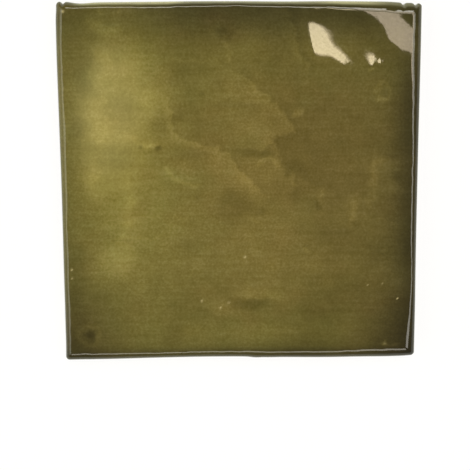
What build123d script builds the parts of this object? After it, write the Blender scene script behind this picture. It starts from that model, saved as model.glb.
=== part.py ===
from build123d import *
import math
import os

# Zellige-effect wall tile: one square of pressed, fired and glazed ceramic.
# Millimetres, +Z up. The tile lies on its back, glazed face upwards. The origin is the middle of
# the plane that the back rests on, and +Y points to the edge that is uppermost on a wall.

# Body
SIDE = 100.0  # across, where the shoulder meets the walls and the tile is widest
THICKNESS = 9.0  # from the back to the general level of the face
WALL_DRAFT = 2.0  # degrees that the walls lean in towards the back
SHOULDER_RADIUS = 2.0  # of the roll from the face over to the walls
RIM_CORNER_RADIUS = 0.2  # of the face's own corners, inside the shoulder
BACK_CHAMFER = 0.5  # broken edge around the back

# Swells of the glazed face: middle across and up, reach along and across, turn in degrees, height.
# A negative height is a hollow.
SWELLS = (
    (-22.0, 17.0, 22.0, 27.0, 0, 0.16),
    (8.0, -2.0, 22.0, 18.0, 0, -0.16),
    (38.0, -10.0, 15.0, 22.0, 0, 0.10),
    (-8.0, -28.0, 27.0, 15.0, 0, 0.12),
    (21.8, 49.4, 14.7, 2.9, -4, 0.18),
    (32.0, 45.8, 9.4, 3.4, -20, 0.09),
    (21.1, 33.1, 7.7, 3.6, -72, 0.15),
)
FACE_SPANS = 50  # spans of the face's surface each way

# Wander of each edge: how far it stands out from a straight line at even steps between its
# corners, going anticlockwise from the lower left corner.
LOWER_WANDER = (-0.08, -0.30, -0.43, -0.36, -0.06, 0.14, 0.08)
RIGHT_WANDER = (0.02, -0.10, -0.15, -0.15, -0.10, -0.04, 0.03)
UPPER_WANDER = (0.02, 0.13, 0.10, 0.22, 0.25, 0.12, 0.06)
LEFT_WANDER = (0.09, 0.00, -0.10, -0.18, -0.18, -0.15, -0.16)

# Keying of the back, which grips the adhesive: a square grid of shallow pockets with ribs between
KEY_COUNT = 5  # pockets in a row
KEY_BORDER = 12.0  # plain border around the pockets
KEY_RIB = 4.0  # between two pockets
KEY_DEPTH = 0.7
KEY_DRAFT = 25.0  # degrees that a pocket's walls slope

HALF = SIDE / 2
WALL_TOP = THICKNESS - SHOULDER_RADIUS
BLANK_HEIGHT = THICKNESS + SHOULDER_RADIUS


def edge_points(wander, quarter, inset):
    """Points of one edge, from corner to corner: the edge on -Y, turned by quarters."""
    reach = HALF - inset
    spans = len(wander) + 1
    points = [
        Vector(reach * (2 * i / spans - 1), -reach - offset)
        for i, offset in enumerate((0, *wander, 0))
    ]
    return [point.rotate(Axis.Z, 90 * quarter) for point in points]


def outline(inset, height):
    """The tile's outline at a height: four smooth wandering edges, set in by the same amount."""
    wanders = (LOWER_WANDER, RIGHT_WANDER, UPPER_WANDER, LEFT_WANDER)
    with BuildSketch(Plane.XY.offset(height)) as sketch:
        with BuildLine():
            for quarter, wander in enumerate(wanders):
                Spline(*edge_points(wander, quarter, inset))
        make_face()
    return sketch.sketch


def blank():
    """The pressed blank: walls that lean in towards the back, with rounded upright corners."""
    lean = math.tan(math.radians(WALL_DRAFT))
    foot = outline(lean * WALL_TOP, 0)
    head = outline(-lean * (BLANK_HEIGHT - WALL_TOP), BLANK_HEIGHT)
    body = loft([foot, head], ruled=True)
    uprights = [edge for edge in body.edges() if edge.bounding_box().size.Z > THICKNESS]
    return fillet(uprights, SHOULDER_RADIUS + RIM_CORNER_RADIUS)


def face_height(x, y):
    """Height of the glazed face: its general level plus each swell."""
    height = THICKNESS
    for middle_x, middle_y, reach_along, reach_across, turn, rise in SWELLS:
        offset = Vector(x - middle_x, y - middle_y).rotate(Axis.Z, -turn)
        distance = math.hypot(offset.X / reach_along, offset.Y / reach_across)
        height += rise * math.exp(-(distance**2))
    return height


def space_above_face():
    """All that lies above the glazed face, as a solid to cut away."""
    reach = HALF + SHOULDER_RADIUS
    steps = [reach * (2 * i / FACE_SPANS - 1) for i in range(FACE_SPANS + 1)]
    rows = [[(x, y, face_height(x, y)) for x in steps] for y in steps]
    surface = Face.make_surface_from_array_of_points(rows, min_deg=3)
    return extrude(surface, amount=BLANK_HEIGHT, dir=(0, 0, 1))


def key_pockets():
    """The shallow pockets of the back, in a square grid, as solids to cut away."""
    size = (SIDE - 2 * KEY_BORDER - (KEY_COUNT - 1) * KEY_RIB) / KEY_COUNT
    pitch = size + KEY_RIB
    with BuildPart() as pockets:
        with BuildSketch():
            with GridLocations(pitch, pitch, KEY_COUNT, KEY_COUNT):
                Rectangle(size, size)
        extrude(amount=KEY_DEPTH, taper=KEY_DRAFT)
    return pockets.part


def wall_tile():
    """The whole tile: face cut to its swells, shoulder rolled over, back broken and keyed."""
    body = blank() - space_above_face()
    face = body.faces().sort_by(Axis.Z)[-1]
    body = fillet(face.edges(), SHOULDER_RADIUS)
    back = body.faces().sort_by(Axis.Z)[0]
    body = chamfer(back.edges(), BACK_CHAMFER)
    return body - key_pockets()


tile = wall_tile()
tile.label = "wall_tile"
os.makedirs("parts", exist_ok=True)
export_step(tile, "parts/wall_tile.step")
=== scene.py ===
import math
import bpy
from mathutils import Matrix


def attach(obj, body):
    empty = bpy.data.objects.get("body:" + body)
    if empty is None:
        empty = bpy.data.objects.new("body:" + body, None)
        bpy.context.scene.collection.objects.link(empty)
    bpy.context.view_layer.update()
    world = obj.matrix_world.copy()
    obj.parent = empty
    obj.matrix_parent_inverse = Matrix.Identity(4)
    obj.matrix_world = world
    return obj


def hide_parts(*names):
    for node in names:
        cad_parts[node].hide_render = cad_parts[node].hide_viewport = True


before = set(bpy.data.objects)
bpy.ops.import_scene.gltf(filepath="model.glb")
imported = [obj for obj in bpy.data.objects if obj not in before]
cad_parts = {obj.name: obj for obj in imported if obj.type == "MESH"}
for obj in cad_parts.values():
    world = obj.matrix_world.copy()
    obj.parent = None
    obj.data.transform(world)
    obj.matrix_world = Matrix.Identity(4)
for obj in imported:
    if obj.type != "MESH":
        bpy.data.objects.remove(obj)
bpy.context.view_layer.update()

from types import SimpleNamespace

import bpy
import numpy as np
from bpy.props import FloatProperty, FloatVectorProperty, IntProperty, PointerProperty
from mathutils import Euler, Matrix, Vector

bl_info = {
    "name": "Zellige-effect wall tile",
    "version": (1, 0, 0),
    "blender": (4, 5, 0),
    "location": "3D View > Sidebar > Tile",
    "description": "Builds a glazed wall tile with a swelling face and rolled edges, and a studio for it",
    "category": "Add Mesh",
}

MM = 0.001
TILE_NODE = "wall_tile"
ATTRIBUTES = ("shade", "tone", "warmth", "bare", "pale_glaze_and_reflection", "speck")

# Form of the tile, in millimetres. X runs across the face, Y up it.

# Wander of each edge out of a straight line, at even steps between its corners, anticlockwise
# from the lower left corner.
LOWER_WANDER = (-0.08, -0.30, -0.43, -0.36, -0.06, 0.12, 0.06)
RIGHT_WANDER = (0.00, -0.09, -0.13, -0.12, -0.10, -0.03, 0.02)
UPPER_WANDER = (0.02, 0.13, 0.09, 0.21, 0.22, 0.10, 0.04)
LEFT_WANDER = (0.08, 0.00, -0.10, -0.18, -0.18, -0.15, -0.16)

# Small dents and bulges of the edges: x, y, reach across and up, shift across and up.
NUDGES = (
    (-47.9, 50.0, 2.6, 1.3, 0.00, 0.26),
    (-50.0, 48.6, 2.0, 2.0, 0.18, 0.00),
    (-43.2, 50.0, 3.0, 1.3, 0.00, -0.30),
    (46.0, 50.0, 4.0, 4.0, 0.00, -0.35),
    (49.6, 50.0, 2.0, 2.0, 0.00, -0.30),
    (4.2, -50.0, 1.8, 1.8, 0.00, -0.20),
    (7.6, -50.0, 3.2, 3.2, 0.00, -0.12),
    (41.0, -50.0, 5.0, 5.0, 0.00, -0.06),
    (49.8, -50.0, 2.5, 2.5, 0.00, 0.18),
    (-50.0, -46.0, 5.0, 5.0, 0.10, 0.00),
    # Kinks of the rim at the lower right corner
    (46.6, -41.5, 1.2, 2.0, -0.30, 0.00),
    (46.8, -48.0, 1.2, 1.5, 0.20, 0.00),
    # Nicks, narrow and deep
    (-47.9, 50.0, 0.45, 1.5, 0.00, -0.70),
    (44.9, 50.0, 0.45, 1.8, 0.00, -0.75),
    (48.2, 50.0, 0.45, 1.8, 0.00, -0.75),
)

# Width of the shoulder at each corner, on the side that ends there and on the side that starts
# there, anticlockwise from the lower left corner; then how far it departs along each side.
CORNER_WIDTHS = ((1.90, 2.45), (3.10, 3.10), (2.80, 3.40), (1.90, 2.30))
LOWER_WIDTH = (-0.10, -0.40, -0.34, -0.36, -0.38, -0.40, -0.05)
RIGHT_WIDTH = (-1.01, -1.28, -0.91, -0.90, -0.71, -0.33, 0.11)
UPPER_WIDTH = (-0.51, -0.89, -1.00, -0.99, -0.71, -0.35, -0.31)
LEFT_WIDTH = (-0.30, -0.15, 0.05, -0.10, -0.25, -0.20, 0.00)

# Painted reflection: a paler band over the outer part of the upper shoulder, standing for the brighter
# surroundings that it mirrors, as soft patches: middle x and y, reach along and across, turn in degrees,
# crispness, amount.
PAINTED_SHOULDER_REFLECTION = (
    (-30.0, 50.0, 14.3, 4.0, 0, 4, 1.00),
    (5.0, 50.0, 24.0, 4.0, 0, 2, 0.55),
    (31.0, 50.0, 8.0, 4.0, 0, 2, 0.80),
    (44.0, 50.0, 6.0, 4.0, 0, 2, 0.25),
)

# Depths under the rim where the painted reflection of the shoulder sets in, is full, starts to end and has
# ended.
PAINTED_REFLECTION_DEPTHS = (0.2, 1.2, 2.8, 5.0)

# Where the face is a little paler, as soft patches.
PALE_FACE_CLOUDS = (
    (-36.5, 20.0, 9.5, 18.0, 0, 2, 0.14),
)

# Swells of the face, as soft patches with their heights.
SWELLS = (
    (-22.0, 17.0, 22.0, 27.0, 0, 1, 0.16),
    (8.0, -2.0, 22.0, 18.0, 0, 1, -0.16),
    (38.0, -10.0, 15.0, 22.0, 0, 1, 0.10),
    (-8.0, -28.0, 27.0, 15.0, 0, 1, 0.12),
    (21.8, 49.4, 14.7, 2.9, -4, 1, 0.156),
    (32.0, 45.8, 9.4, 3.4, -20, 1, 0.083),
    (21.1, 33.1, 7.7, 3.6, -72, 1, 0.151),
    (28.9, 31.1, 6.1, 2.6, -48, 1, 0.090),
    (40.7, 38.2, 4.9, 3.1, -27, 1, 0.067),
    (49.5, 48.1, 3.3, 3.4, 0, 1, 0.096),
    (52.0, 34.0, 3.5, 4.5, 0, 1, -0.060),
    (36.2, 32.7, 3.6, 3.5, 0, 1, 0.083),
    (40.3, 33.0, 3.3, 1.9, 26, 1, 0.063),
    (36.0, 31.3, 1.0, 1.9, 0, 1, 0.036),
    (38.6, 33.3, 0.4, 0.9, 0, 1, 0.010),
)

# Chips out of the shoulder: x, y, z, radius, depth.
CHIPS = (
    (45.2, 49.7, 8.4, 0.60, 0.30),
    (48.4, 49.2, 8.3, 0.55, 0.28),
)

# Tone of the glaze, with a painted highlight and painted glints among it, as the natural logarithm of
# its brightness against the middle tone.

# Broad shades, as soft patches.
SHADE_PATCHES = (
    # Darker towards the edges
    (18.0, 53.0, 52.0, 12.5, 0, 2, -0.90),
    (10.0, 50.0, 60.0, 4.0, 0, 1, -0.18),
    (-20.0, 50.0, 16.0, 9.0, 0, 1, -0.25),
    (-50.0, 47.0, 9.0, 14.0, 0, 1, -0.40),
    (-50.0, -5.0, 5.0, 30.0, 0, 1, -0.20),
    (48.0, 25.0, 4.0, 14.0, 0, 1, -0.30),
    (52.0, -6.0, 8.0, 60.0, 0, 1, -1.35),
    (50.0, 6.0, 12.0, 50.0, 0, 1, -0.13),
    (0.0, -52.0, 60.0, 5.5, 0, 1, -0.75),
    (0.0, -48.4, 60.0, 1.9, 0, 2, -0.42),
    (-50.0, -50.0, 14.0, 22.0, 0, 1, -0.90),
    (50.0, -50.0, 16.0, 20.0, 0, 1, -1.00),
    # The darker right side, the pale left side and the lower half
    (34.0, 8.0, 22.0, 36.0, 0, 2, -0.24),
    (-34.5, 17.0, 9.8, 20.5, 0, 2, 0.27),
    (-33.0, 8.0, 16.0, 34.0, 0, 1, 0.28),
    (0.0, -26.0, 44.0, 16.0, 0, 1, -0.05),
)

# Smaller tones, and one painted highlight, as soft patches.
TONE_AND_HIGHLIGHT_PATCHES = (
    # Near the edges
    (35.0, 43.0, 5.0, 4.0, 0, 1, -0.20),
    (39.5, 36.5, 5.0, 5.0, 0, 1, -0.22),
    (-43.0, 45.0, 6.0, 5.0, 0, 1, -0.22),
    (-26.7, 47.5, 8.0, 2.0, 0, 1, 0.18),
    (46.2, 4.5, 3.0, 5.0, 0, 1, 0.12),
    (47.0, -17.5, 2.5, 4.0, 0, 1, -0.22),
    (45.3, -26.4, 4.0, 4.0, 0, 1, 0.20),
    (-19.0, -42.5, 3.5, 4.0, 0, 1, -0.15),
    (41.0, -42.0, 7.0, 7.0, 0, 1, -0.22),
    (41.2, -45.3, 0.8, 0.7, 0, 1, 1.25),
    (44.0, -45.6, 1.4, 0.5, 0, 1, 0.50),
    (-45.0, -44.0, 5.0, 6.0, 0, 1, -0.18),
    (18.0, -48.0, 9.0, 6.0, 0, 1, -0.35),
    (22.0, -36.0, 9.0, 7.0, 0, 1, -0.28),
    # The pale left side
    (-38.5, 12.0, 3.5, 16.0, 0, 1, 0.10),
    (-33.0, 33.0, 9.0, 6.5, 0, 1.5, 0.14),
    (-37.2, 34.2, 2.3, 5.0, 0, 1.5, 0.18),
    (-39.0, 29.0, 1.8, 2.8, 0, 1.5, 0.12),
    (-42.4, 29.5, 3.6, 6.0, 0, 1, -0.30),
    (-44.3, 16.0, 2.8, 3.4, 0, 1.5, -0.24),
    (-42.0, 20.0, 3.0, 5.5, 0, 1.5, 0.14),
    (-38.7, 22.8, 2.8, 2.8, 0, 1, 0.12),
    (-36.6, 17.6, 2.2, 2.8, 0, 1, 0.16),
    (-38.6, 14.5, 2.2, 3.5, 0, 1.5, 0.11),
    (-30.2, 13.6, 2.2, 1.4, 0, 1.5, 0.13),
    (-33.0, 21.3, 4.0, 4.0, 0, 1, -0.20),
    (-34.8, 7.0, 6.0, 3.5, 0, 1.5, -0.20),
    (-41.0, 2.5, 2.5, 5.0, 0, 1, 0.30),
    (-28.0, 25.0, 18.0, 6.0, 0, 1, 0.10),
    (-22.5, 24.0, 5.0, 4.5, 0, 1.5, 0.25),
    (-28.0, 35.0, 4.0, 4.0, 0, 1, 0.10),
    (-24.7, 11.3, 2.6, 1.2, 0, 1, 0.32),
    (-35.3, -20.8, 5.8, 5.2, 0, 1.5, 0.34),
    (-40.2, -25.8, 4.0, 3.5, 0, 1, 0.16),
    (-31.0, -28.0, 8.0, 4.0, 0, 1, 0.11),
    (-46.0, -32.0, 3.0, 10.0, 0, 1, -0.12),
    (-32.5, -13.0, 4.0, 8.0, 0, 1, 0.14),
    (-31.0, -7.0, 1.8, 7.0, 0, 1, 0.14),
    (-32.0, -10.8, 2.2, 1.2, 0, 1.5, 0.15),
    (-30.1, -4.2, 1.4, 1.6, 0, 1, 0.13),
    (-8.4, -17.9, 0.9, 0.8, 0, 1, 0.16),
    (-28.8, -16.3, 6.0, 6.0, 0, 1, 0.08),
    (-20.0, -12.0, 9.0, 16.0, 0, 1, 0.12),
    (-38.7, 43.9, 3.0, 1.6, 0, 1, 0.10),
    (-35.0, 43.5, 2.0, 1.2, 0, 1, -0.16),
    # Clouds of the middle
    (0.0, 15.0, 14.0, 20.0, 0, 1, 0.08),
    (-14.0, 28.0, 7.0, 16.0, 0, 1, -0.15),
    (-15.7, 32.2, 3.4, 2.4, 0, 2, -0.12),
    (-15.2, 15.2, 3.2, 3.4, 0, 1, 0.16),
    (-24.0, 32.0, 5.0, 6.0, 0, 1, 0.08),
    (-13.5, 40.6, 10.0, 5.0, 0, 1, -0.16),
    (-21.6, 16.4, 2.2, 3.3, 0, 1, -0.18),
    (9.8, 37.2, 5.5, 5.5, 0, 1, -0.28),
    (15.5, 30.0, 3.2, 4.6, 0, 1, -0.20),
    (16.6, 43.2, 2.0, 3.0, 0, 1, 0.14),
    (4.5, 28.5, 2.6, 3.0, 0, 1, 0.14),
    (2.0, -20.0, 14.0, 10.0, 0, 1, 0.13),
    (-1.4, -5.6, 5.2, 4.2, 0, 1.5, -0.28),
    (4.3, 21.0, 4.0, 3.0, 0, 1, -0.11),
    (-1.0, 22.3, 7.0, 1.2, -3, 1.5, -0.14),
    (-12.4, 8.0, 3.0, 3.0, 0, 1, -0.08),
    (-13.5, 8.6, 5.5, 1.6, 0, 1.5, -0.14),
    (-10.8, 15.6, 3.5, 1.6, 0, 1, -0.05),
    (0.5, 2.0, 4.0, 3.0, 0, 1, 0.09),
    (-16.8, 19.4, 2.2, 1.4, 0, 1, -0.12),
    (41.0, -2.0, 3.0, 4.0, 0, 1, 0.10),
    (42.5, 5.2, 2.2, 1.6, 0, 1.5, 0.12),
    (42.3, -0.8, 2.4, 2.2, 0, 1.5, 0.20),
    (43.6, 2.4, 1.2, 0.8, 0, 1, -0.20),
    (39.4, 23.6, 1.2, 0.9, 0, 1, 0.28),
    (4.5, 8.6, 6.2, 1.3, -10, 1.5, -0.26),
    (15.0, 5.0, 2.6, 1.8, 0, 1.5, -0.18),
    (-20.8, 4.6, 1.0, 1.0, 0, 1, 0.15),
    (16.4, 19.7, 1.2, 1.6, 0, 1.5, 0.34),
    (15.6, -1.8, 2.0, 2.0, 0, 1, -0.15),
    (-3.8, 41.2, 2.4, 2.2, 0, 1, -0.42),
    (4.5, 40.1, 2.6, 3.5, 0, 1, 0.10),
    (5.6, -7.3, 1.6, 1.0, 0, 1, -0.23),
    (4.0, -9.6, 1.4, 0.6, 0, 1, 0.20),
    (21.2, -5.7, 1.2, 0.5, 0, 1, -0.25),
    (26.0, -13.6, 5.0, 1.8, 0, 1, -0.14),
    (20.5, -22.8, 3.2, 2.2, 0, 1, 0.12),
    (18.0, -17.6, 0.9, 0.4, 0, 1, -0.30),
    (31.0, -9.4, 2.4, 1.6, 0, 1.5, 0.14),
    (6.1, 1.4, 4.0, 3.0, 0, 1, 0.10),
    (22.6, -2.6, 0.9, 2.2, 0, 1, 0.32),
    (31.4, -6.6, 1.3, 3.4, -10, 1, 0.32),
    (21.0, -8.8, 12.0, 3.0, 0, 1, 0.10),
    (39.3, 4.0, 3.5, 6.0, 0, 1.5, 0.12),
    (42.0, 8.3, 3.0, 2.0, 0, 1, -0.18),
    (38.5, -19.0, 3.0, 3.0, 0, 1, -0.14),
    # A darker patch low on the right
    (31.0, -30.0, 9.0, 3.2, 0, 1, -0.16),
    (-46.5, -19.5, 3.0, 3.2, 0, 1, -0.14),
    (-14.7, -16.0, 3.6, 2.6, 0, 1, -0.13),
    (8.7, -23.0, 2.6, 2.4, 0, 1, 0.12),
    # Painted highlight: the faint lowest spot of the warm lamp's small highlight near the upper right
    # corner
    (36.2, 31.8, 0.5, 0.6, 0, 1, 0.45),
    # Clouds of the lower edge
    (2.8, -33.8, 6.6, 1.5, -6, 2, -0.31),
    (6.1, -30.9, 6.0, 1.6, -5, 1.5, 0.13),
    (-14.3, -33.4, 8.0, 4.0, 0, 1, -0.14),
    (-13.0, -41.8, 4.0, 2.0, -15, 1.5, 0.12),
    (6.5, -42.0, 8.0, 2.4, 5, 1.5, 0.12),
    # Dark spots
    (-22.2, 10.7, 1.0, 0.95, 0, 2, -0.62),
    (-27.0, 10.6, 0.55, 0.5, 0, 1, -0.45),
    (-10.3, 25.3, 0.6, 0.5, 0, 1, -0.30),
    (-11.6, -3.7, 0.8, 0.6, 0, 1, -0.25),
    (-42.4, -42.1, 1.2, 1.2, 0, 1.5, -0.60),
)

# Streaks, three of them painted glints: points, half width, amount.
TONE_AND_GLINT_STREAKS = (
    (((-20.1, 4.9), (-18.5, 2.3), (-15.5, 0.9), (-12.2, -0.5)), 0.7, 0.24),
    (((-9.8, -33.3), (-6.0, -35.2), (-3.2, -35.6)), 0.9, 0.12),
    (((5.0, 5.2), (6.2, 6.6), (8.4, 6.9), (10.6, 5.7)), 0.6, 0.26),
    (((10.9, 6.9), (10.3, 9.6), (9.5, 11.8)), 0.6, 0.16),
    (((-4.2, 40.1), (-2.8, 34.8)), 0.6, 0.20),
    (((14.6, 3.2), (14.9, 0.6)), 0.5, 0.20),
    (((1.9, -25.2), (2.5, -29.5)), 0.8, 0.10),
    (((-27.5, -8.5), (-23.0, -8.4)), 0.35, 0.13),
    (((-19.1, -8.4), (-13.1, -8.3)), 0.35, 0.13),
    (((-35.3, -14.5), (-29.4, -14.4), (-19.7, -14.2)), 0.4, 0.15),
    (((-35.9, -15.4), (-29.4, -15.2)), 0.4, -0.14),
    (((-13.6, -24.2), (-13.9, -25.6), (-14.9, -26.8)), 0.4, 0.14),
    (((38.0, -9.9), (41.0, -9.9), (44.2, -11.4)), 0.4, 0.16),
    (((17.2, -18.2), (18.2, -18.8), (19.6, -18.9)), 0.35, 0.22),
    (((39.7, 7.1), (37.8, 4.9), (37.0, 0.8), (37.3, -3.1), (35.1, -5.1)), 1.0, 0.22),
    (
        ((37.7, 26.7), (38.4, 27.9), (39.7, 28.3), (40.8, 27.5), (40.9, 25.3), (40.4, 23.4),
         (39.3, 22.9), (38.2, 23.5), (37.6, 25.0), (37.7, 26.7)), 0.55, 0.26),
    (((-40.3, 44.4), (-39.2, 42.7), (-37.2, 41.9), (-34.8, 41.9), (-33.1, 42.7)), 0.9, 0.20),
    (((-18.0, 34.8), (-5.5, 34.7)), 0.35, 0.13),
    # Painted glints: three short bright marks just under the upper rim, on the left
    (((-37.6, 48.2), (-37.5, 46.9)), 0.35, 0.30),
    (((-34.6, 47.8), (-34.6, 47.2)), 0.35, 0.30),
    (((-33.0, 48.0), (-33.1, 47.4)), 0.35, 0.30),
)

# Edges of clouds: points, then the amount and reach on the left of the line and on its right.
TONE_EDGES = (
    (
        ((-18.8, 18.6), (-18.3, 15.3), (-14.8, 12.8), (-10.1, 11.7), (-5.4, 10.6), (-2.1, 6.4),
         (2.0, 2.8), (5.0, -0.6)), -0.16, 3.5, 0.22, 2.8),
    (
        ((2.9, 28.3), (5.1, 26.6), (10.3, 22.5), (14.2, 17.3), (14.7, 15.1), (9.2, 13.2),
         (8.4, 12.1)), -0.22, 5.0, 0.16, 2.8),
    (((9.5, 12.4), (11.7, 6.0), (12.3, 3.0), (17.0, 1.0)), -0.12, 6.0, 0.06, 3.0),
    (((13.8, 47.5), (14.0, 45.1), (15.4, 40.9), (18.2, 32.8)), -0.22, 2.5, 0.12, 3.0),
    (((-43.0, 12.4), (-32.9, 11.8), (-23.5, 10.9)), 0.06, 3.0, -0.08, 4.0),
)

# Rings: middle x and y, radius, half width, amount.
TONE_RINGS = (
    (-42.9, -42.4, 2.8, 0.9, 0.28),
)

# Browner patches, as soft patches.
WARM_PATCHES = (
    (18.0, 4.0, 34.0, 32.0, 0, 1.5, 0.95),
    (-8.0, 8.0, 12.0, 6.0, -20, 1, 0.25),
    (41.0, -38.0, 12.0, 14.0, 0, 1, 0.60),
    (-45.0, -43.0, 7.0, 7.0, 0, 1, 0.50),
    (-5.0, 43.0, 10.0, 5.0, 0, 1, 0.50),
    (19.0, -9.0, 9.0, 7.0, 0, 1, -0.30),
    (2.0, 10.0, 6.0, 4.0, 0, 1, -0.30),
    (-2.0, -33.0, 12.0, 5.0, 0, 1, 0.30),
    (-17.5, 2.0, 5.0, 4.0, 0, 1, -0.35),
    (23.0, 27.0, 5.0, 4.0, 0, 1, -0.40),
    (-35.0, 19.0, 10.0, 16.0, 0, 1, 0.34),
    (0.0, -28.0, 36.0, 10.0, 0, 1, 0.22),
)

# Pale specks in the glaze: x, y, radius.
SPECKS = (
    (1.2, -20.2, 0.28),
    (-3.4, -33.2, 0.24),
    (-5.7, -34.7, 0.24),
    (-11.0, -32.7, 0.26),
    (35.8, -28.6, 0.15),
    (40.0, -28.3, 0.15),
    (44.4, -32.5, 0.17),
    (-47.7, 47.5, 0.32),
    (-47.3, -23.4, 0.26),
    (-47.2, -25.8, 0.20),
)

# Slow waves that bend the outlines of tones and of browner patches: a seed for each way, strength,
# longest and shortest wave. Then their faint cloudiness: seed, strength, longest and shortest wave.
TONE_BENDS = ((11, 13, 0.35, 12.0, 5.0), (12, 14, 0.25, 4.0, 1.5))
TONE_CLOUDINESS = ((15, 0.025, 18.0, 4.0), (16, 0.008, 4.0, 1.5))
WARM_BENDS = ((21, 22, 1.5, 20.0, 7.0),)
WARM_CLOUDINESS = ((23, 0.06, 22.0, 6.0),)
WARM_LEAST = 0.08
EDGE_ONSET = 0.4  # distance from the line over which the edge of a cloud sets in

# How far each of red, green and blue follows the smaller tones and the fine grain, which turn paler
# where they are brighter.
TONE_SHARES = (0.97, 1.00, 1.45)
GRAIN_SHARES = (0.88, 1.00, 2.10)

# Studio cards: slope of the way from the tile to the card across and up, width, height and roll
# in degrees, then the light that the card shows, in the same units as a colour.
CARD_DISTANCE = 1.5
CARDS = {
    "warm_lamp": ((0.145, 0.1228), (0.110, 0.1718), 0, (14.4, 12.2, 8.0)),
    "warm_lamp_edge": ((0.142, 0.0628), (0.102, 0.0086), 0, (7.5, 6.2, 4.2)),
    "warm_lamp_fringe": ((0.1435, 0.0583), (0.086, 0.0050), 0, (2.8, 2.3, 1.6)),
    "corner_card": ((0.288, 0.069), (0.245, 0.160), -45, (6.8, 5.6, 4.3)),
    "right_card": ((0.55, -0.12), (0.525, 0.750), 0, (4.4, 4.2, 3.8)),
    "left_card": ((-0.75, -0.12), (0.750, 0.900), 0, (1.30, 1.32, 1.15)),
    "left_panel": ((-1.10, -0.05), (1.300, 1.900), 0, (1.19, 1.22, 1.08)),
    "upper_card": ((0.02, 0.55), (0.680, 0.375), 0, (8.6, 8.2, 7.3)),
    "corner_bridge": ((0.32, 0.285), (0.340, 0.300), 0, (6.0, 5.2, 4.2)),
    "lower_card": ((0.0, -0.66), (0.900, 0.400), 0, (4.6, 4.3, 3.7)),
}

SIDE_STATIONS = 240
CORNER_STATIONS = 4
SHOULDER_RINGS = 16
WALL_RINGS = 4
KEY_STATIONS = 8
KEY_CORNER_STATIONS = 2
FLOOR_SPOKES = 96
FLOOR_RINGS = (0.02, 0.05, 0.12, 0.3, 1.0)  # shares of the floor's radius
SHARP_ANGLE = math.radians(40)

# Ripple of the face and wobble of the rim: seed, longest and shortest wave; then the share of a
# half side over which the wobble sets in from a corner.
RIPPLE_WAVES = (7, 14.0, 3.0)
WOBBLE_WAVES = (8, 16.0, 3.0)
WOBBLE_ONSET = 1 / 12

# Fineness of the textures, per metre, and how far the streaks are drawn out
GRAIN_SCALE = 1700
STREAK_SCALE = 900
STREAK_STRETCH = (0.1, 1.0, 1.0)
WEAVE_SCALE = 1000
WEAVE_STRETCH = (1.0, 0.2, 1.0)
CLOUD_SCALE = 260
PIT_SCALE = 2600
GLAZE_RELIEF_SCALE = 900
CLAY_GRAIN_SCALE = 900
CLAY_RELIEF_SCALE = 2200
RUN_SCALE = 90

# Strength of the textures. Heights are in metres.
GLAZE_RELIEF = 1.2e-6
CLAY_RELIEF = 5e-5
CLAY_GRAIN = 0.35
RUN_HEIGHT = 3.5 * MM  # of the runs along the line where the glaze stops
RUN_SOFTNESS = 0.15 * MM
GLAZE_IOR = 1.5
MIDDLE_SPECULAR = 0.5

# Distances from the tile between which the floor turns wholly white, and rises of the way up from
# the horizon between which the room turns dim.
FLOOR_WHITENING = (0.12, 0.7)
HORIZON_BAND = (0.08, 0.18)

SENSOR_WIDTH = 36.0
NEAREST_SEEN = 0.01

SIDE_ALONG = np.array([(1, 0), (0, 1), (-1, 0), (0, -1)], float)
SIDE_OUT = np.array([(0, -1), (1, 0), (0, 1), (-1, 0)], float)
CORNER_SIGNS = np.array([(-1, -1), (1, -1), (1, 1), (-1, 1)], float)
# At a corner the width of an upright side is taken off across, that of a level side off up
CORNER_WIDTHS_XY = np.array([
    pair if corner % 2 == 0 else pair[::-1] for corner, pair in enumerate(CORNER_WIDTHS)])


class TileForm(bpy.types.PropertyGroup):
    """Sizes of the tile."""

    side: FloatProperty(
        name="Side", description="Across the tile at its widest", default=100 * MM, unit="LENGTH")
    thickness: FloatProperty(
        name="Thickness", description="From the back to the general level of the face",
        default=9 * MM, unit="LENGTH")
    shoulder_drop: FloatProperty(
        name="Shoulder drop", description="Height of the roll from the face over to the walls",
        default=2.8 * MM, unit="LENGTH")
    corner_radius: FloatProperty(
        name="Corner radius", description="Rounding of the upright corners",
        default=1.1 * MM, unit="LENGTH")
    rim_corner_radius: FloatProperty(
        name="Rim corner radius", description="Rounding of the face's own corners",
        default=0.5 * MM, unit="LENGTH")
    wall_draft: FloatProperty(
        name="Wall draft", description="How far the walls lean in towards the back",
        default=math.radians(2), subtype="ANGLE")
    back_chamfer: FloatProperty(
        name="Back chamfer", description="Broken edge around the back",
        default=0.5 * MM, unit="LENGTH")
    key_count: IntProperty(
        name="Key count", description="Pockets of the back in a row", default=5, min=1)
    key_size: FloatProperty(
        name="Key size", description="Side of a pocket of the back", default=12 * MM, unit="LENGTH")
    key_rib: FloatProperty(
        name="Key rib", description="Between two pockets of the back", default=4 * MM, unit="LENGTH")
    key_depth: FloatProperty(
        name="Key depth", description="Depth of a pocket of the back", default=0.7 * MM, unit="LENGTH")
    key_corner_radius: FloatProperty(
        name="Key corner radius", description="Rounding of a pocket's mouth",
        default=0.4 * MM, unit="LENGTH")
    key_draft: FloatProperty(
        name="Key draft", description="Slope of a pocket's walls",
        default=math.radians(25), subtype="ANGLE")
    ripple_height: FloatProperty(
        name="Ripple height", description="Fine ripple of the glazed face",
        default=0.0006 * MM, unit="LENGTH", precision=6)
    rim_wobble: FloatProperty(
        name="Rim wobble", description="Small unevenness of the line where the shoulder starts",
        default=0.06 * MM, unit="LENGTH", precision=6)


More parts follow.
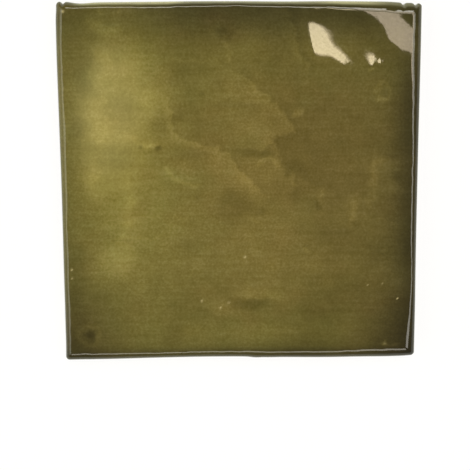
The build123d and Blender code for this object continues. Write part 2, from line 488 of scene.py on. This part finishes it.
class TileFinish(bpy.types.PropertyGroup):
    """Colours and gloss of the tile."""

    olive: FloatVectorProperty(
        name="Olive glaze", description="Middle tone of the greener glaze",
        default=(0.1220, 0.1056, 0.0229), subtype="COLOR", size=3)
    brown: FloatVectorProperty(
        name="Brown glaze", description="Middle tone of the browner glaze",
        default=(0.1393, 0.1051, 0.0242), subtype="COLOR", size=3)
    # Colour of the paler face clouds and of the painted reflection on the upper shoulder
    pale_glaze_and_reflection: FloatVectorProperty(
        name="Thin glaze", description="Where the glaze lies thin over the clay",
        default=(0.42, 0.405, 0.20), subtype="COLOR", size=3)
    speck: FloatVectorProperty(
        name="Speck", description="Pale specks in the glaze",
        default=(0.42, 0.36, 0.17), subtype="COLOR", size=3)
    clay: FloatVectorProperty(
        name="Fired clay", description="Bare body of the back, the lower walls and the chips",
        default=(0.76, 0.70, 0.58), subtype="COLOR", size=3)
    glaze_roughness: FloatProperty(
        name="Glaze roughness", description="Gloss of the glaze", default=0.03, subtype="FACTOR")
    pitting: FloatProperty(
        name="Pitting", description="How unevenly the glaze mirrors, by its finest pits",
        default=0.35, min=0)
    clay_roughness: FloatProperty(
        name="Clay roughness", description="Dullness of the bare clay", default=0.85, subtype="FACTOR")
    glaze_line: FloatProperty(
        name="Glaze line", description="Height above the back where the glaze stops on the walls",
        default=3.6 * MM, unit="LENGTH")
    mottle: FloatProperty(
        name="Mottle", description="Strength of the fine grain in the glaze", default=0.64, min=0)
    streak: FloatProperty(
        name="Streak", description="Strength of the level streaks in the glaze", default=0.34, min=0)
    weave: FloatProperty(
        name="Weave", description="Strength of the upright streaks in the glaze", default=0.15, min=0)
    cloud: FloatProperty(
        name="Cloud", description="Strength of the small clouds in the glaze", default=0.18, min=0)


class StudioSettings(bpy.types.PropertyGroup):
    """Floor, light and camera."""

    floor_radius: FloatProperty(
        name="Floor radius", description="Of the round floor", default=4.0, unit="LENGTH")
    floor_color: FloatVectorProperty(
        name="Floor colour", description="Of the floor where light falls on it",
        default=(0.90, 0.90, 0.90), subtype="COLOR", size=3)
    floor_mirrored: FloatVectorProperty(
        name="Mirrored floor", description="White of the floor as the tile's edges mirror it",
        default=(0.76, 0.78, 0.68), subtype="COLOR", size=3)
    floor_glow: FloatProperty(
        name="Floor glow", description="Share of plain white in the floor close to the tile",
        default=0.85, subtype="FACTOR")
    overhead: FloatProperty(
        name="Overhead level", description="Light of the dim room above", default=0.20, min=0)
    card_level: FloatProperty(
        name="Card level", description="Scales the light of all cards", default=1.0, min=0)
    camera_place: FloatVectorProperty(
        name="Camera place", description="Where the camera stands",
        default=(-9.46 * MM, 33.31 * MM, 304.3 * MM), subtype="TRANSLATION", size=3, precision=5)
    camera_turn: FloatVectorProperty(
        name="Camera turn", description="Turns about X, Y and Z from straight down",
        default=tuple(math.radians(a) for a in (-9.089, -1.517, -0.499)), subtype="EULER", size=3)
    focal_length: FloatProperty(
        name="Focal length", description="Of the lens, in millimetres on a 36 mm sensor",
        default=81.96, unit="CAMERA")


def in_millimetres(group):
    """The settings of a group as plain numbers: lengths in millimetres, the rest as they are."""
    values = {}
    for name, prop in group.bl_rna.properties.items():
        if prop.type in {"FLOAT", "INT"} and not getattr(prop, "is_array", False):
            value = getattr(group, name)
            values[name] = value / MM if prop.unit == "LENGTH" else value
    return SimpleNamespace(**values)


# Fields over the face

def soft_patch(x, y, patch):
    """Height of a bump with elliptic contours: exp(-(p^2 + q^2)^crispness), where p and q are the
    distances along and across the turned ellipse over its reaches."""
    middle_x, middle_y, along, across, turn, crispness = patch
    angle = math.radians(turn)
    dx, dy = x - middle_x, y - middle_y
    p = (dx * math.cos(angle) + dy * math.sin(angle)) / along
    q = (dy * math.cos(angle) - dx * math.sin(angle)) / across
    return np.exp(-((p * p + q * q) ** crispness))


def random_waves(x, y, seed, longest, shortest, count=24):
    """Unit-strength unevenness: plane sine waves of random direction, phase and wavelength."""
    rng = np.random.default_rng(seed)
    length = np.exp(rng.uniform(math.log(shortest), math.log(longest), count))
    heading = rng.uniform(0, 2 * math.pi, count)
    phase = rng.uniform(0, 2 * math.pi, count)
    total = np.zeros_like(x)
    for wave, angle, start in zip(length, heading, phase):
        travel = x * math.cos(angle) + y * math.sin(angle)
        total += np.sin(2 * math.pi * travel / wave + start)
    return total / math.sqrt(count / 2)


def line_distance(x, y, points):
    """Distance to a chain of straight runs, and the side: positive on the left of its way."""
    best = np.full(x.shape, np.inf)
    side = np.zeros(x.shape)
    for (ax, ay), (bx, by) in zip(points[:-1], points[1:]):
        run_x, run_y = bx - ax, by - ay
        share = ((x - ax) * run_x + (y - ay) * run_y) / (run_x**2 + run_y**2)
        share = np.clip(share, 0, 1)
        away_x, away_y = x - ax - share * run_x, y - ay - share * run_y
        distance = np.hypot(away_x, away_y)
        closer = distance < best
        best = np.where(closer, distance, best)
        side = np.where(closer, np.sign(run_x * away_y - run_y * away_x), side)
    return best, side


def patch_sum(x, y, patches):
    """Sum of soft patches, each with its amount."""
    return sum(amount * soft_patch(x, y, shape) for *shape, amount in patches)


def cloudiness(x, y, layers):
    """Sum of layers of random waves, each with its strength."""
    return sum(strength * random_waves(x, y, seed, *waves) for seed, strength, *waves in layers)


def bent(x, y, bends):
    """Places moved by random waves in both directions."""
    bent_x, bent_y = x, y
    for seed_x, seed_y, strength, *waves in bends:
        bent_x = bent_x + strength * random_waves(x, y, seed_x, *waves)
        bent_y = bent_y + strength * random_waves(x, y, seed_y, *waves)
    return bent_x, bent_y


def glaze_tone_and_glints(x, y):
    """Logarithm of the glaze's brightness in detail, with a painted highlight and painted glints: patches,
    streaks, cloud edges and rings, all bent a little by slow waves so that no outline is regular, plus a
    faint cloudiness of its own."""
    bent_x, bent_y = bent(x, y, TONE_BENDS)
    tone = cloudiness(x, y, TONE_CLOUDINESS) + patch_sum(bent_x, bent_y, TONE_AND_HIGHLIGHT_PATCHES)
    for points, width, amount in TONE_AND_GLINT_STREAKS:
        distance, _ = line_distance(bent_x, bent_y, points)
        tone += amount * np.exp(-((distance / width) ** 2))
    for points, left, left_reach, right, right_reach in TONE_EDGES:
        distance, side = line_distance(bent_x, bent_y, points)
        amount = np.where(side > 0, left, right)
        reach = np.where(side > 0, left_reach, right_reach)
        tone += amount * np.exp(-distance / reach) * np.clip(distance / EDGE_ONSET, 0, 1)
    for ring_x, ring_y, radius, width, amount in TONE_RINGS:
        distance = np.hypot(bent_x - ring_x, bent_y - ring_y) - radius
        tone += amount * np.exp(-((distance / width) ** 2))
    return tone


def glaze_warmth(x, y):
    """How brown the glaze is, from 0 to 1: a few broad patches with cloudy edges."""
    warmth = WARM_LEAST + cloudiness(x, y, WARM_CLOUDINESS)
    return np.clip(warmth + patch_sum(*bent(x, y, WARM_BENDS), WARM_PATCHES), 0, 1)


# Surface of the tile

def smooth_through(values, places):
    """Smooth curve through even values, zero at both ends, at places from -1 to 1: on each span the
    cubic whose slope at a value is half the step from the one before it to the one after it."""
    knots = np.concatenate([[0.0], values, [0.0]])
    padded = np.concatenate([[-knots[1]], knots, [-knots[-2]]])
    spans = len(knots) - 1
    travel = np.clip((places + 1) / 2 * spans, 0, spans - 1e-9)
    start = travel.astype(int)
    t = travel - start
    a, b, c, d = (padded[start + k] for k in range(4))
    return b + 0.5 * t * (c - a + t * (2 * a - 5 * b + 4 * c - d + t * (3 * (b - c) + d - a)))


def side_stations(count, corner_count):
    """Stations of one side: the place along its straight stretch, from -1 to 1, and the lean of the
    outward direction, which turns through 45 degrees on each half of a rounded corner."""
    straight = count - 2 * corner_count
    along = np.concatenate(
        [np.full(corner_count, -1.0), np.linspace(-1, 1, straight + 1), np.full(corner_count, 1.0)])
    turning = np.linspace(0, math.pi / 4, corner_count + 1)[1:]
    lean = np.concatenate([-turning[::-1], np.zeros(straight + 1), turning])
    return along, lean


def rounded_loop(corners, bulges, count, corner_count):
    """Core points and outward directions around a square with rounded corners: a point of a loop is
    its core point plus a radius times its direction. The core runs straight from corner to corner,
    anticlockwise from the lower left, and each side moves out by its own bulge."""
    along, lean = (values[:-1] for values in side_stations(count, corner_count))
    share = ((along + 1) / 2)[:, None]
    points, outward = [], []
    for start, end, bulge, run, out in zip(corners, np.roll(corners, -1, 0), bulges, SIDE_ALONG, SIDE_OUT):
        drift = smooth_through(bulge, along)[:, None]
        points.append(start + share * (end - start) + drift * out)
        outward.append(np.sin(lean)[:, None] * run + np.cos(lean)[:, None] * out)
    return np.concatenate(points), np.concatenate(outward)


def nudge(points):
    """Moves points of the plan by each nudge's shift times exp(-(dx / reach x)^2 - (dy / reach y)^2)."""
    for x, y, reach_x, reach_y, across, up in NUDGES:
        near = np.exp(-(((points[:, 0] - x) / reach_x) ** 2) - ((points[:, 1] - y) / reach_y) ** 2)
        points = points + near[:, None] * (across, up)
    return points


def fill_rim(rim):
    """Grid of points that fills a closed rim of four sides: the blend of its lower and upper sides,
    plus the blend of its left and right sides, less the blend of its four corners."""
    n = SIDE_STATIONS
    loop = np.concatenate([rim, rim[:1]])
    lower, right = loop[: n + 1], loop[n : 2 * n + 1]
    upper, left = loop[2 * n : 3 * n + 1][::-1], loop[3 * n :][::-1]
    share = (lower[:, 0] - lower[0, 0]) / (lower[-1, 0] - lower[0, 0])
    u, v = share[:, None, None], share[None, :, None]
    across = (1 - v) * lower[:, None] + v * upper[:, None]
    up = (1 - u) * left[None] + u * right[None]
    corners = (1 - v) * ((1 - u) * lower[0] + u * lower[-1]) + v * ((1 - u) * upper[0] + u * upper[-1])
    return across + up - corners


def grid_numbers(size):
    """Vertex numbers of a square grid, and of its border, anticlockwise from its first corner."""
    grid = np.arange(size * size).reshape(size, size)
    border = np.concatenate([grid[:-1, 0], grid[-1, :-1], grid[:0:-1, -1], grid[0, :0:-1]])
    return grid, border


def ring_faces(outer, inner):
    """Four-sided faces between two closed rings of vertex numbers, in the last axis."""
    turned_outer, turned_inner = np.roll(outer, -1, -1), np.roll(inner, -1, -1)
    return np.stack([outer, inner, turned_inner, turned_outer], -1).reshape(-1, 4)


def flat(points, height):
    """Points of a plane, given a height."""
    return np.concatenate([points, np.broadcast_to(height, points.shape[:-1])[..., None]], -1)


def face_level(x, y, form):
    """Height of the glazed face: its general level, its swells and a fine ripple."""
    ripple = form.ripple_height * random_waves(x, y, *RIPPLE_WAVES)
    return form.thickness + patch_sum(x, y, SWELLS) + ripple


def shell_surface(form):
    """Face, shoulder and walls: the filled rim, then rings around it. On the shoulder a ring stands
    at the share sin(a) of the way from the rim to the outline and lies lower by drop x (1 - cos(a)),
    as a goes from 0 to 90 degrees; on the walls it draws in by the draft. Returns points, faces, the
    last ring's numbers and each point's depth under the rim."""
    half = form.side / 2
    wanders = np.array((LOWER_WANDER, RIGHT_WANDER, UPPER_WANDER, LEFT_WANDER))
    widths = np.array((LOWER_WIDTH, RIGHT_WIDTH, UPPER_WIDTH, LEFT_WIDTH))
    sizes = (SIDE_STATIONS, CORNER_STATIONS)
    core, outward = rounded_loop(CORNER_SIGNS * (half - form.corner_radius), wanders, *sizes)
    outline = core + form.corner_radius * outward
    inset = CORNER_WIDTHS_XY + form.rim_corner_radius
    rim_core, _ = rounded_loop(CORNER_SIGNS * (half - inset), wanders - widths, *sizes)
    along = side_stations(*sizes)[0][:-1]
    window = np.tile(np.clip((1 - np.abs(along)) / WOBBLE_ONSET, 0, 1), 4)
    wobble = form.rim_wobble * window * random_waves(core[:, 0], core[:, 1], *WOBBLE_WAVES)
    rim = rim_core + (form.rim_corner_radius + wobble)[:, None] * outward
    grid_points = fill_rim(rim).reshape(-1, 2)
    rim_level = face_level(rim[:, 0], rim[:, 1], form)
    points = [flat(grid_points, face_level(grid_points[:, 0], grid_points[:, 1], form))]
    grid, border = grid_numbers(SIDE_STATIONS + 1)
    faces = [np.stack([grid[:-1, :-1], grid[1:, :-1], grid[1:, 1:], grid[:-1, 1:]], -1).reshape(-1, 4)]

    rings = []
    for angle in np.linspace(0, math.pi / 2, SHOULDER_RINGS + 1)[1:]:
        ring = rim + math.sin(angle) * (outline - rim)
        rings.append(flat(ring, rim_level - form.shoulder_drop * (1 - math.cos(angle))))
    wall_top = rings[-1][:, 2]
    draw_in = math.tan(form.wall_draft)
    for share in np.linspace(0, 1, WALL_RINGS + 1)[1:]:
        height = wall_top + share * (form.back_chamfer - wall_top)
        reach = form.corner_radius - draw_in * (wall_top - height)
        rings.append(flat(core + reach[:, None] * outward, height))
    foot = form.corner_radius - draw_in * wall_top - form.back_chamfer
    rings.append(flat(core + foot[:, None] * outward, 0.0))

    first = len(points[0])
    for ring in rings:
        numbers = first + np.arange(len(ring))
        faces.append(ring_faces(border, numbers))
        points.append(ring)
        border = numbers
        first += len(ring)
    depth = np.concatenate([0 * points[0][:, 2]] + [rim_level - ring[:, 2] for ring in rings])
    points = np.concatenate(points)
    points[:, :2] = nudge(points[:, :2])
    return points, np.concatenate(faces), border, depth


def back_surface(form, foot, first):
    """Back of the tile: square cells, each with a pocket whose mouth and floor are rounded squares,
    and a plain border out to the foot ring. Returns points and faces."""
    count, n = form.key_count, KEY_STATIONS
    pitch = form.key_size + form.key_rib
    lattice_size = count * n + 1
    steps = np.arange(n)
    square = np.concatenate([
        np.stack([steps, 0 * steps], -1), np.stack([n + 0 * steps, steps], -1),
        np.stack([n - steps, n + 0 * steps], -1), np.stack([0 * steps, n - steps], -1)])
    place = np.stack(np.meshgrid(np.arange(count), np.arange(count), indexing="ij"), -1).reshape(-1, 1, 2)
    lattice = place * n + square
    used, cell = np.unique(lattice[..., 0] * lattice_size + lattice[..., 1], return_inverse=True)
    cell = cell.reshape(lattice.shape[:2])
    lattice_points = np.stack([used // lattice_size, used % lattice_size], -1) * (pitch / n)
    lattice_points -= count * pitch / 2

    middles = (place - (count - 1) / 2) * pitch
    core, outward = rounded_loop(
        CORNER_SIGNS * (form.key_size / 2 - form.key_corner_radius), ((0.0,),) * 4, n, KEY_CORNER_STATIONS)
    floor_radius = form.key_corner_radius - form.key_depth * math.tan(form.key_draft)
    mouth_points = (middles + core + form.key_corner_radius * outward).reshape(-1, 2)
    floor_points = (middles + core + floor_radius * outward).reshape(-1, 2)
    points = np.concatenate([
        flat(lattice_points, 0.0), flat(mouth_points, 0.0), flat(floor_points, form.key_depth)])

    mouth = len(used) + np.arange(len(mouth_points)).reshape(cell.shape)
    floor = mouth + len(mouth_points)
    quads = np.concatenate([ring_faces(cell, mouth), ring_faces(mouth, floor)]) + first
    floors = floor[:, ::-1] + first

    _, border = grid_numbers(lattice_size)
    block = np.searchsorted(used, border) + first
    each = len(foot) // len(block)
    starts = np.arange(len(block)) * each
    outer = foot[(starts[:, None] + np.arange(each, -1, -1)) % len(foot)]
    margins = np.concatenate([block[:, None], np.roll(block, -1)[:, None], outer], 1)
    return points, quads.tolist() + floors.tolist() + margins.tolist()


def chip_edges(points):
    """Presses each chip into the surface, inwards and down, by depth x exp(-(distance / radius)^4).
    Returns the points and how bare the clay is there."""
    bare = np.zeros(len(points))
    for x, y, z, radius, depth in CHIPS:
        inward = -Vector((np.sign(x) * (abs(x) > abs(y)), np.sign(y) * (abs(y) >= abs(x)), 1)).normalized()
        near = np.exp(-((np.linalg.norm(points - (x, y, z), axis=1) / radius) ** 4))
        points = points + depth * near[:, None] * np.array(inward)
        bare = np.maximum(bare, near)
    return points, bare


def paleness_and_painted_reflection(x, y, depth):
    """How pale the glaze is made: over the patches of the shoulder, a painted reflection, from nothing just
    under the rim to all further down and to nothing again on the walls; and over the clouds of the face."""
    start, full, ebb, end = PAINTED_REFLECTION_DEPTHS
    share = np.clip((depth - start) / (full - start), 0, 1) * np.clip((end - depth) / (end - ebb), 0, 1)
    shoulder = share * share * (3 - 2 * share) * patch_sum(x, y, PAINTED_SHOULDER_REFLECTION)
    return np.clip(shoulder + patch_sum(x, y, PALE_FACE_CLOUDS), 0, 1)


def speck_mask(x, y):
    """How much a pale speck shows: exp(-(distance / radius)^2) around each one."""
    return np.clip(sum(np.exp(-((x - sx) ** 2 + (y - sy) ** 2) / r**2) for sx, sy, r in SPECKS), 0, 1)


def new_piece(name, points, faces):
    """Object at the origin with its place in its mesh."""
    mesh = bpy.data.meshes.new(name)
    mesh.from_pydata(points.tolist(), [], faces)
    if mesh.validate():
        raise RuntimeError(f"{name}: the mesh had faults")
    piece = bpy.data.objects.new(name, mesh)
    bpy.context.scene.collection.objects.link(piece)
    return piece


def write_attribute(mesh, name, values):
    """Stores one number for each vertex."""
    attribute = mesh.attributes.new(name, "FLOAT", "POINT")
    attribute.data.foreach_set("value", np.asarray(values, np.float32))


# Materials

class Graph:
    """Adds nodes to a node tree and joins them."""

    def __init__(self, tree):
        self.tree = tree
        tree.nodes.clear()

    def node(self, kind, sockets=None, **settings):
        """New node. Sockets maps an input's name or number to a value or to an output to join."""
        node = self.tree.nodes.new(kind)
        for name, value in settings.items():
            setattr(node, name, value)
        for key, value in (sockets or {}).items():
            if isinstance(value, bpy.types.NodeSocket):
                self.tree.links.new(value, node.inputs[key])
            else:
                node.inputs[key].default_value = value
        return node

    def attribute(self, name):
        """Output of one of the piece's attributes."""
        return self.node("ShaderNodeAttribute", attribute_name=name).outputs["Fac"]

    def math(self, operation, *values):
        """Output of a Math node."""
        return self.node("ShaderNodeMath", dict(enumerate(values)), operation=operation).outputs[0]

    def noise(self, vector, scale, detail=2.0, roughness=0.5):
        """Output of a Noise Texture, moved to lie about zero."""
        texture = self.node(
            "ShaderNodeTexNoise",
            {"Vector": vector, "Scale": scale, "Detail": detail, "Roughness": roughness})
        return self.math("SUBTRACT", texture.outputs["Fac"], 0.5)

    def ramp(self, value, low, high):
        """0 at low, 1 at high, smooth between them."""
        return self.node(
            "ShaderNodeMapRange", {"Value": value, "From Min": low, "From Max": high},
            interpolation_type="SMOOTHSTEP").outputs["Result"]

    def mix_color(self, factor, first, second):
        """Blend of two colours."""
        node = self.node("ShaderNodeMix", {0: factor, 6: first, 7: second}, data_type="RGBA")
        return node.outputs[2]

    def mix_value(self, factor, first, second):
        """Blend of two numbers."""
        return self.node("ShaderNodeMix", {0: factor, 2: first, 3: second}).outputs[0]


def new_material(name):
    """Material with an empty node tree."""
    material = bpy.data.materials.new(name)
    material.use_nodes = True
    return material, Graph(material.node_tree)


def opaque(color):
    """A colour with full alpha."""
    return (*color, 1.0)


def glazed_ceramic(finish):
    """Glossy olive glaze, paler and darker by its tone, over bare clay at the foot of the walls, on
    the back and in the chips."""
    material, graph = new_material("glazed_ceramic")
    place = graph.node("ShaderNodeTexCoord").outputs["Object"]
    shade, tone, warmth, bare, pale_glaze_and_reflection, speck = (graph.attribute(name) for name in ATTRIBUTES)

    level = graph.node("ShaderNodeMapping", {"Vector": place, "Scale": STREAK_STRETCH}).outputs[0]
    upright = graph.node("ShaderNodeMapping", {"Vector": place, "Scale": WEAVE_STRETCH}).outputs[0]
    grain = graph.math("MULTIPLY", graph.noise(place, GRAIN_SCALE, 1.0), finish.mottle)
    streaks = graph.math("MULTIPLY", graph.noise(level, STREAK_SCALE, 1.0), finish.streak)
    weave = graph.math("MULTIPLY", graph.noise(upright, WEAVE_SCALE, 1.0), finish.weave)
    clouds = graph.math("MULTIPLY", graph.noise(place, CLOUD_SCALE, 3.0, 0.7), finish.cloud)
    fine = graph.math("ADD", graph.math("ADD", grain, streaks), graph.math("ADD", weave, clouds))
    channels = {}
    for channel, (tone_share, grain_share) in enumerate(zip(TONE_SHARES, GRAIN_SHARES)):
        total = graph.math("MULTIPLY_ADD", tone, tone_share, shade)
        total = graph.math("MULTIPLY_ADD", fine, grain_share, total)
        channels[channel] = graph.math("EXPONENT", total)
    brightness = graph.node("ShaderNodeCombineXYZ", channels).outputs[0]
    pigment = graph.mix_color(warmth, opaque(finish.olive), opaque(finish.brown))
    glaze = graph.node(
        "ShaderNodeVectorMath", {0: pigment, 1: brightness}, operation="MULTIPLY").outputs[0]
    glaze = graph.mix_color(speck, glaze, opaque(finish.speck))
    # Paler glaze over the face's clouds, and painted reflection on the outer upper shoulder
    glaze = graph.mix_color(pale_glaze_and_reflection, glaze, opaque(finish.pale_glaze_and_reflection))

    clay_grain = graph.math("MULTIPLY_ADD", graph.noise(place, CLAY_GRAIN_SCALE, 3.0), CLAY_GRAIN, 1.0)
    clay = graph.node(
        "ShaderNodeVectorMath", {0: finish.clay, "Scale": clay_grain}, operation="SCALE").outputs[0]

    height = graph.node("ShaderNodeSeparateXYZ", {0: place}).outputs["Z"]
    runs = graph.math("MULTIPLY", graph.noise(place, RUN_SCALE, 3.0), RUN_HEIGHT)
    covered = graph.ramp(
        graph.math("ADD", height, runs), finish.glaze_line - RUN_SOFTNESS, finish.glaze_line + RUN_SOFTNESS)
    covered = graph.math("MULTIPLY", covered, graph.math("SUBTRACT", 1.0, bare))

    pits = graph.math("MULTIPLY_ADD", graph.noise(place, PIT_SCALE), finish.pitting, MIDDLE_SPECULAR)
    glaze_relief = graph.math("MULTIPLY", graph.noise(place, GLAZE_RELIEF_SCALE, 1.0), GLAZE_RELIEF)
    clay_relief = graph.math("MULTIPLY", graph.noise(place, CLAY_RELIEF_SCALE, 3.0), CLAY_RELIEF)
    relief = graph.mix_value(covered, clay_relief, glaze_relief)
    normal = graph.node("ShaderNodeBump", {"Strength": 1.0, "Distance": 1.0, "Height": relief}).outputs[0]

    shader = graph.node("ShaderNodeBsdfPrincipled", {
        "Base Color": graph.mix_color(covered, clay, glaze),
        "Roughness": graph.mix_value(covered, finish.clay_roughness, finish.glaze_roughness),
        "IOR": GLAZE_IOR,
        "Specular IOR Level": pits,
        "Normal": normal,
    })
    graph.node("ShaderNodeOutputMaterial", {"Surface": shader.outputs[0]})
    return material


def studio_floor(studio):
    """Pale floor that takes the tile's shadow. To the eye it is partly plain white near the tile and
    wholly so further off, and in reflections likewise, but a little dimmer."""
    material, graph = new_material("studio_floor")
    place = graph.node("ShaderNodeTexCoord").outputs["Object"]
    distance = graph.node("ShaderNodeVectorMath", {0: place}, operation="LENGTH").outputs["Value"]
    glow = graph.mix_value(graph.ramp(distance, *FLOOR_WHITENING), studio.floor_glow, 1.0)
    path = graph.node("ShaderNodeLightPath")
    seen = graph.math("MAXIMUM", path.outputs["Is Camera Ray"], path.outputs["Is Glossy Ray"])
    seen = graph.math("MAXIMUM", seen, path.outputs["Is Transmission Ray"])
    pale = graph.node("ShaderNodeBsdfDiffuse", {"Color": opaque(studio.floor_color)})
    color = graph.mix_color(path.outputs["Is Camera Ray"], opaque(studio.floor_mirrored), (1, 1, 1, 1))
    white = graph.node("ShaderNodeEmission", {"Color": color, "Strength": 1.0})
    blend = graph.node("ShaderNodeMixShader", {
        0: graph.math("MULTIPLY", glow, seen), 1: pale.outputs[0], 2: white.outputs[0]})
    graph.node("ShaderNodeOutputMaterial", {"Surface": blend.outputs[0]})
    return material


def studio_world(studio):
    """Dim overhead and white along the horizon."""
    world = bpy.data.worlds.new("studio_world")
    world.use_nodes = True
    graph = Graph(world.node_tree)
    way = graph.node("ShaderNodeTexCoord").outputs["Generated"]
    rise = graph.node("ShaderNodeSeparateXYZ", {0: way}).outputs["Z"]
    level = graph.mix_value(graph.ramp(rise, *HORIZON_BAND), 1.0, studio.overhead)
    background = graph.node("ShaderNodeBackground", {"Color": (1, 1, 1, 1), "Strength": level})
    graph.node("ShaderNodeOutputWorld", {"Surface": background.outputs[0]})
    return world


# Studio

def round_floor(radius):
    """Flat disc: points at radius x share along each of many directions around the middle."""
    angle = np.linspace(0, 2 * math.pi, FLOOR_SPOKES, endpoint=False)
    circle = np.stack([np.cos(angle), np.sin(angle)], -1)
    points = np.concatenate([flat(radius * share * circle, 0.0) for share in FLOOR_RINGS])
    rings = np.arange(len(points)).reshape(len(FLOOR_RINGS), FLOOR_SPOKES)
    quads = np.concatenate([ring_faces(inner, outer) for inner, outer in zip(rings[:-1], rings[1:])])
    return points, quads.tolist() + [rings[0].tolist()]


def studio_card(name, slope, size, roll, light, level):
    """Soft rectangular light that faces the tile and isn't itself seen by the camera."""
    data = bpy.data.lights.new(name, "AREA")
    data.shape = "RECTANGLE"
    data.size, data.size_y = size
    strength = max(light)
    data.color = [value / strength for value in light]
    data.energy = strength * level * math.pi * size[0] * size[1]
    card = bpy.data.objects.new(name, data)
    bpy.context.scene.collection.objects.link(card)
    away = Vector((*slope, 1.0)).normalized()
    across = Vector((0, 1, 0)).cross(away).normalized()
    turn = Matrix((across, away.cross(across), away)).transposed()
    turn = turn @ Matrix.Rotation(math.radians(roll), 3, "Z")
    card.matrix_world = Matrix.Translation(away * CARD_DISTANCE) @ turn.to_4x4()
    card.visible_camera = False
    return card


def studio_camera(studio):
    """Camera that looks down on the tile from where the tile was seen."""
    data = bpy.data.cameras.new("camera")
    data.sensor_fit = "HORIZONTAL"
    data.sensor_width = SENSOR_WIDTH
    data.lens = studio.focal_length
    data.clip_start = NEAREST_SEEN
    camera = bpy.data.objects.new("camera", data)
    bpy.context.scene.collection.objects.link(camera)
    turn = Euler(studio.camera_turn, "ZYX").to_matrix().to_4x4()
    camera.matrix_world = Matrix.Translation(studio.camera_place) @ turn
    return camera


# Operators

class TILE_OT_wall_tile(bpy.types.Operator):
    """Build the glazed tile: face, rolled shoulder, walls and keyed back"""

    bl_idname = "tile.wall_tile"
    bl_label = "Wall tile"

    def execute(self, context):
        form = in_millimetres(context.scene.tile_form)
        shell, shell_faces, foot, depth = shell_surface(form)
        back, back_faces = back_surface(form, foot, len(shell))
        points, bare = chip_edges(np.concatenate([shell, back]))
        x, y = points[:, 0], points[:, 1]
        piece = new_piece("glazed_tile", points * MM, shell_faces.tolist() + back_faces)
        mesh = piece.data
        # Paler face clouds and the painted reflection on the upper shoulder
        pale_glaze_and_reflection = paleness_and_painted_reflection(shell[:, 0], shell[:, 1], depth)
        fields = (
            patch_sum(x, y, SHADE_PATCHES), glaze_tone_and_glints(x, y), glaze_warmth(x, y), bare,
            np.concatenate([pale_glaze_and_reflection, np.zeros(len(back))]), speck_mask(x, y))
        for name, values in zip(ATTRIBUTES, fields):
            write_attribute(mesh, name, values)
        mesh.shade_smooth()
        mesh.set_sharp_from_angle(angle=SHARP_ANGLE)
        mesh.materials.append(glazed_ceramic(context.scene.tile_finish))
        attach(piece, "root")
        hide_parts(TILE_NODE)
        return {"FINISHED"}


class TILE_OT_studio(bpy.types.Operator):
    """Set the floor, the lights and the camera"""

    bl_idname = "tile.studio"
    bl_label = "Studio"

    def execute(self, context):
        scene = context.scene
        studio = scene.tile_studio
        points, faces = round_floor(studio.floor_radius)
        floor = new_piece("floor", points, faces)
        floor.data.materials.append(studio_floor(studio))
        scene.world = studio_world(studio)
        for name, (slope, size, roll, light) in CARDS.items():
            studio_card(name, slope, size, roll, light, studio.card_level)
        scene.camera = studio_camera(studio)
        scene.view_settings.view_transform = "Standard"
        return {"FINISHED"}


class TILE_PT_panel(bpy.types.Panel):
    """Lists the steps and their settings"""

    bl_idname = "TILE_PT_panel"
    bl_label = "Wall tile"
    bl_space_type = "VIEW_3D"
    bl_region_type = "UI"
    bl_category = "Tile"

    def draw(self, context):
        for operator, groups in (
            (TILE_OT_wall_tile, (context.scene.tile_form, context.scene.tile_finish)),
            (TILE_OT_studio, (context.scene.tile_studio,)),
        ):
            box = self.layout.box()
            box.operator(operator.bl_idname)
            for group in groups:
                for name in group.__annotations__:
                    box.prop(group, name)


CLASSES = (TileForm, TileFinish, StudioSettings, TILE_OT_wall_tile, TILE_OT_studio, TILE_PT_panel)


def register():
    for cls in CLASSES:
        bpy.utils.register_class(cls)
    bpy.types.Scene.tile_form = PointerProperty(type=TileForm)
    bpy.types.Scene.tile_finish = PointerProperty(type=TileFinish)
    bpy.types.Scene.tile_studio = PointerProperty(type=StudioSettings)


def unregister():
    del bpy.types.Scene.tile_studio
    del bpy.types.Scene.tile_finish
    del bpy.types.Scene.tile_form
    for cls in reversed(CLASSES):
        bpy.utils.unregister_class(cls)


def main():
    register()
    bpy.ops.tile.wall_tile()
    bpy.ops.tile.studio()


if __name__ == "__main__":
    main()
